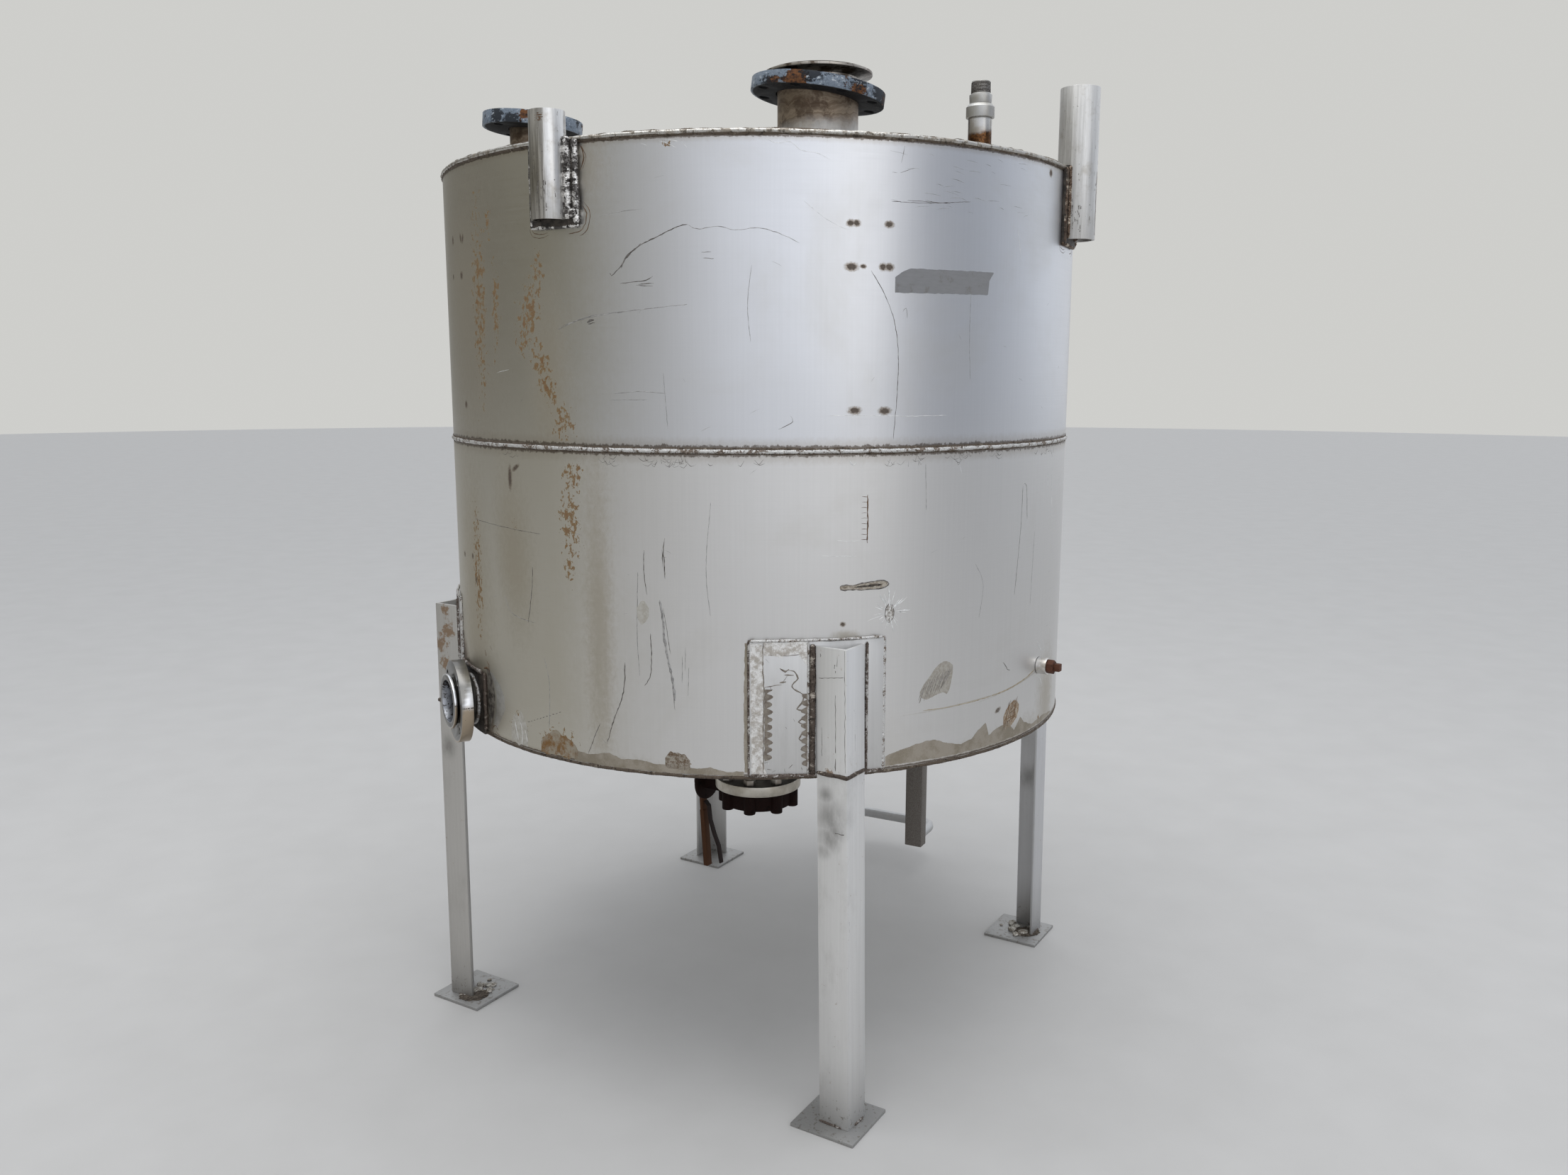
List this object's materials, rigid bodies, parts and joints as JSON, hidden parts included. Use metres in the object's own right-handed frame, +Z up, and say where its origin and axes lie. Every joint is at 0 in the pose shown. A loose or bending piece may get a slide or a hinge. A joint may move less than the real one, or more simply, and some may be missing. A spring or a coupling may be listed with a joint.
{
  "type": "vertical storage tank",
  "caption": "Upright stainless storage tank on angle-iron legs with roof and side nozzles, a bottom outlet lever valve, a drain and a ladder.",
  "frame": {"origin": "on the floor, under the middle of the tank", "axes": "+Z up; -Y towards the front leg, +X towards the right leg"},
  "size_m": [1.4536, 1.4536, 1.944],
  "materials": {
    "dull_stainless": "weathered brushed stainless plate",
    "bright_stainless": "bright stainless fittings",
    "leg_stainless": "stainless angle and plate, stained",
    "flange_paint": "blue-grey paint chipped to rust",
    "rusty_iron": "rusted iron",
    "stained_pipe": "brown-stained stainless pipe",
    "gasket": "perished black gasket",
    "ladder_steel": "dark stained stainless"
  },
  "bodies": {
    "tank": {"shell_lower_front": "dull_stainless", "shell_lower_back": "dull_stainless", "shell_upper_front": "dull_stainless", "shell_upper_back": "dull_stainless", "tank_bottom": "dull_stainless", "tank_roof": "dull_stainless", "leg_pad_front": "leg_stainless", "leg_front": "leg_stainless", "foot_plate_front": "leg_stainless", "leg_pad_right": "leg_stainless", "leg_right": "leg_stainless", "foot_plate_right": "leg_stainless", "leg_pad_back": "leg_stainless", "leg_back": "leg_stainless", "foot_plate_back": "leg_stainless", "leg_pad_left": "leg_stainless", "leg_left": "leg_stainless", "foot_plate_left": "leg_stainless", "side_nozzle_pad": "leg_stainless", "side_nozzle_pipe": "bright_stainless", "side_nozzle_flange": "bright_stainless", "roof_nozzle_pipe": "stained_pipe", "roof_nozzle_gasket": "gasket", "roof_nozzle_flange": "flange_paint", "edge_nozzle_pipe": "stained_pipe", "edge_nozzle_flange": "flange_paint", "vent_nipple": "bright_stainless", "vent_union": "bright_stainless", "vent_threaded_end": "bright_stainless", "socket_plate_left": "leg_stainless", "pipe_socket_left": "leg_stainless", "socket_plate_right": "leg_stainless", "pipe_socket_right": "leg_stainless", "drain_coupling": "bright_stainless", "drain_bushing": "rusty_iron", "drain_plug": "rusty_iron", "outlet_pipe": "bright_stainless", "outlet_flange": "bright_stainless", "valve_body": "rusty_iron", "ladder_stile_left": "ladder_steel", "ladder_stile_right": "ladder_steel", "ladder_rung_1": "ladder_steel", "ladder_rung_2": "ladder_steel", "ladder_rung_3": "ladder_steel", "ladder_rung_4": "ladder_steel", "ladder_rung_5": "ladder_steel", "ladder_rung_6": "ladder_steel"},
    "valve_handle": {"valve_stem": "bright_stainless", "valve_disc": "bright_stainless", "valve_lever": "rusty_iron"},
    "trigger": {"lever_trigger": "rusty_iron"}
  },
  "joints": [
    {"name": "valve_turn", "type": "hinge", "parent": "tank", "child": "valve_handle", "pos_m": [-0.008, 0, 0.4035], "axis": [-0.6626, 0.749, 0], "range_deg": [0, 90]},
    {"name": "trigger_squeeze", "type": "hinge", "parent": "valve_handle", "child": "trigger", "pos_m": [-0.10839, 0.11347, 0.3525], "axis": [0.749, 0.6626, 0], "range_deg": [0, 6], "stiffness_Nm_per_rad": 4, "springref_deg": -2.86}
  ]
}
